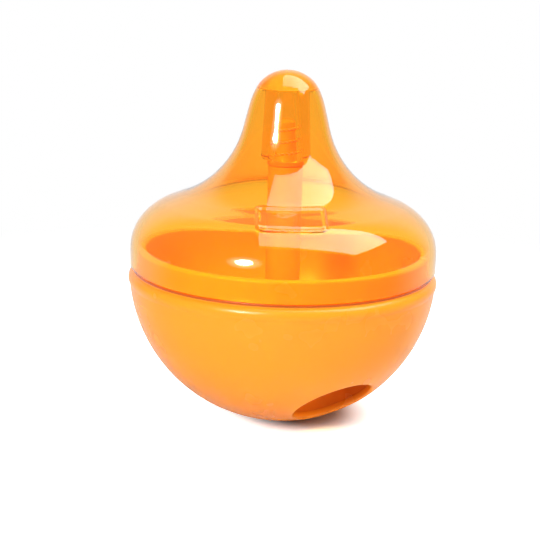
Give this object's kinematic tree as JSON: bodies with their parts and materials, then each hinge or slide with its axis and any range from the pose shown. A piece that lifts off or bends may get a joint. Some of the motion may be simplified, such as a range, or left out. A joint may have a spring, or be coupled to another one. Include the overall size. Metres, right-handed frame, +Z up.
{
  "type": "treat ball",
  "caption": "Weighted self-righting treat ball: an opaque bowl with a round outlet low on one side, under a clear bell-shaped dome that unscrews from a central post.",
  "frame": {"origin": "centre of the flat foot under the bowl, on the surface that the ball stands on", "axes": "+Z up along the post, -Y towards the side with the outlet"},
  "size_m": [0.1308, 0.1308, 0.1477],
  "materials": {
    "bowl_plastic": "smooth moulded orange plastic, softly glossy",
    "cup_plastic": "smooth moulded orange plastic",
    "chute_plastic": "smooth moulded orange plastic",
    "post_plastic": "smooth moulded orange plastic",
    "weight_iron": "raw cast iron",
    "screw_steel": "zinc-plated steel",
    "washer_rubber": "matt orange silicone",
    "socket_clear": "clear amber plastic, polished",
    "dome_clear": "clear amber plastic, polished"
  },
  "bodies": {
    "base": {"bowl_shell": "bowl_plastic", "base_weight": "weight_iron", "food_cup": "cup_plastic", "outlet_chute": "chute_plastic", "cup_screws": "screw_steel", "centre_post": "post_plastic", "post_washer": "screw_steel", "post_screw": "screw_steel"},
    "washer": {"friction_washer": "washer_rubber"},
    "dome": {"socket_insert": "socket_clear", "dome_shell": "dome_clear"}
  },
  "joints": [
    {"name": "dome_turn", "type": "hinge", "parent": "base", "child": "washer", "pos_m": [0, 0, 0.11], "axis": [0, 0, 1], "range_deg": [0, 900]},
    {"name": "dome_lift", "type": "slide", "parent": "washer", "child": "dome", "axis": [0, 0, 1], "range_m": [0, 0.01251]}
  ],
  "couplings": [
    {"joint": "dome_lift", "follows": "dome_turn", "m_per_rad": 0.00079577}
  ]
}
